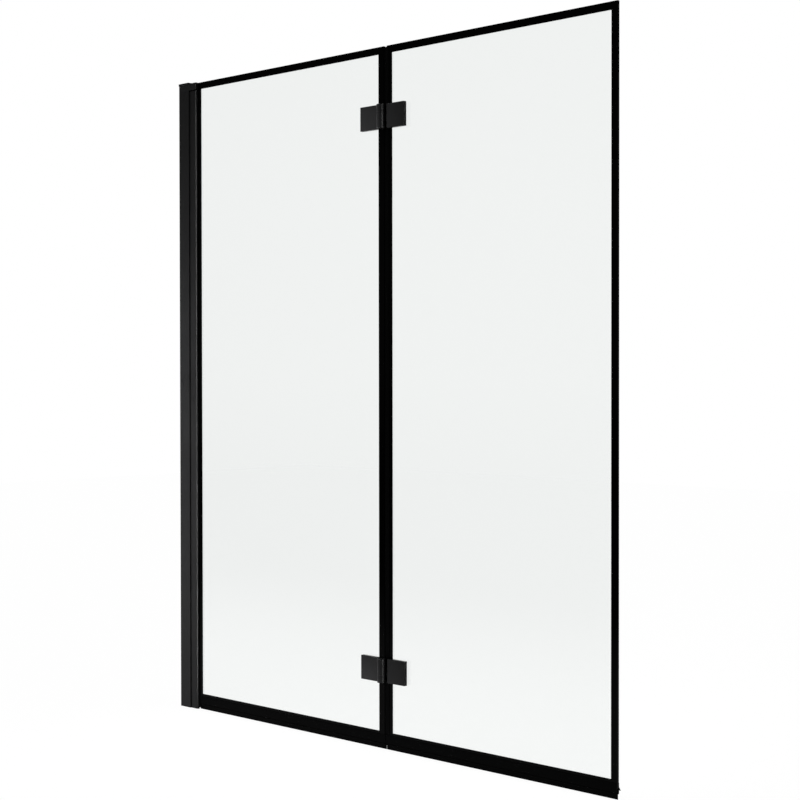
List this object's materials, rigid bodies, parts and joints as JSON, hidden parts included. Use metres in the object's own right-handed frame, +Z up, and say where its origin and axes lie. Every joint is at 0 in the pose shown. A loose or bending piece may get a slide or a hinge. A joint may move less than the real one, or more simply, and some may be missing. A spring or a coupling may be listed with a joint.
{
  "type": "folding bath screen",
  "caption": "Folding glass bath screen: wall profile, fixed pane and hinged folding pane, with printed black borders and drip seals.",
  "frame": {"origin": "on the wall face of the wall channel, in the middle plane of the panes, at the level of the bath rim", "axes": "+X from the wall along the panes to the free edge, -Y to the front where the hinge barrels are, +Z up"},
  "size_m": [1.2, 0.0337, 1.4023],
  "materials": {
    "black_profile": "satin black powder coat",
    "black_cap": "satin black",
    "steel": "plain",
    "black_rubber": "matt",
    "nylon": "black",
    "clear_glass": "clear tempered",
    "black_print": "gloss black enamel",
    "black_seal": "semi-gloss black",
    "black_hinge": "satin black"
  },
  "bodies": {
    "wall_mount": {"wall_channel": "black_profile", "top_cap": "black_cap", "lock_screws": "steel", "clamp_nuts": "steel"},
    "fixed_panel": {"fixed_drip_seal": "black_seal", "fixed_pane": "clear_glass", "fixed_pane_border": "black_print", "front_glazing_gasket": "black_rubber", "lower_fixed_clamp_screws": "steel", "lower_fixed_front_pad": "black_rubber", "lower_fixed_leaf": "black_hinge", "lower_fixed_rear_pad": "black_rubber", "lower_fixed_rear_plate": "black_hinge", "lower_fixed_sleeves": "nylon", "lower_pin": "steel", "rear_glazing_gasket": "black_rubber", "setting_block": "nylon", "sliding_profile": "black_profile", "upper_fixed_clamp_screws": "steel", "upper_fixed_front_pad": "black_rubber", "upper_fixed_leaf": "black_hinge", "upper_fixed_rear_pad": "black_rubber", "upper_fixed_rear_plate": "black_hinge", "upper_fixed_sleeves": "nylon", "upper_pin": "steel"},
    "folding_panel": {"folding_drip_seal": "black_seal", "folding_pane": "clear_glass", "folding_pane_border": "black_print", "gap_seal": "black_seal", "lower_bushes": "nylon", "lower_folding_clamp_screws": "steel", "lower_folding_front_pad": "black_rubber", "lower_folding_leaf": "black_hinge", "lower_folding_rear_pad": "black_rubber", "lower_folding_rear_plate": "black_hinge", "lower_folding_sleeves": "nylon", "upper_bushes": "nylon", "upper_folding_clamp_screws": "steel", "upper_folding_front_pad": "black_rubber", "upper_folding_leaf": "black_hinge", "upper_folding_rear_pad": "black_rubber", "upper_folding_rear_plate": "black_hinge", "upper_folding_sleeves": "nylon"}
  },
  "joints": [
    {"name": "width_adjust", "type": "slide", "parent": "wall_mount", "child": "fixed_panel", "axis": [1, 0, 0], "range_m": [-0.008, 0.008]},
    {"name": "fold", "type": "hinge", "parent": "fixed_panel", "child": "folding_panel", "pos_m": [0.634, -0.013, 0.71], "axis": [0, 0, -1], "range_deg": [0, 180]}
  ]
}
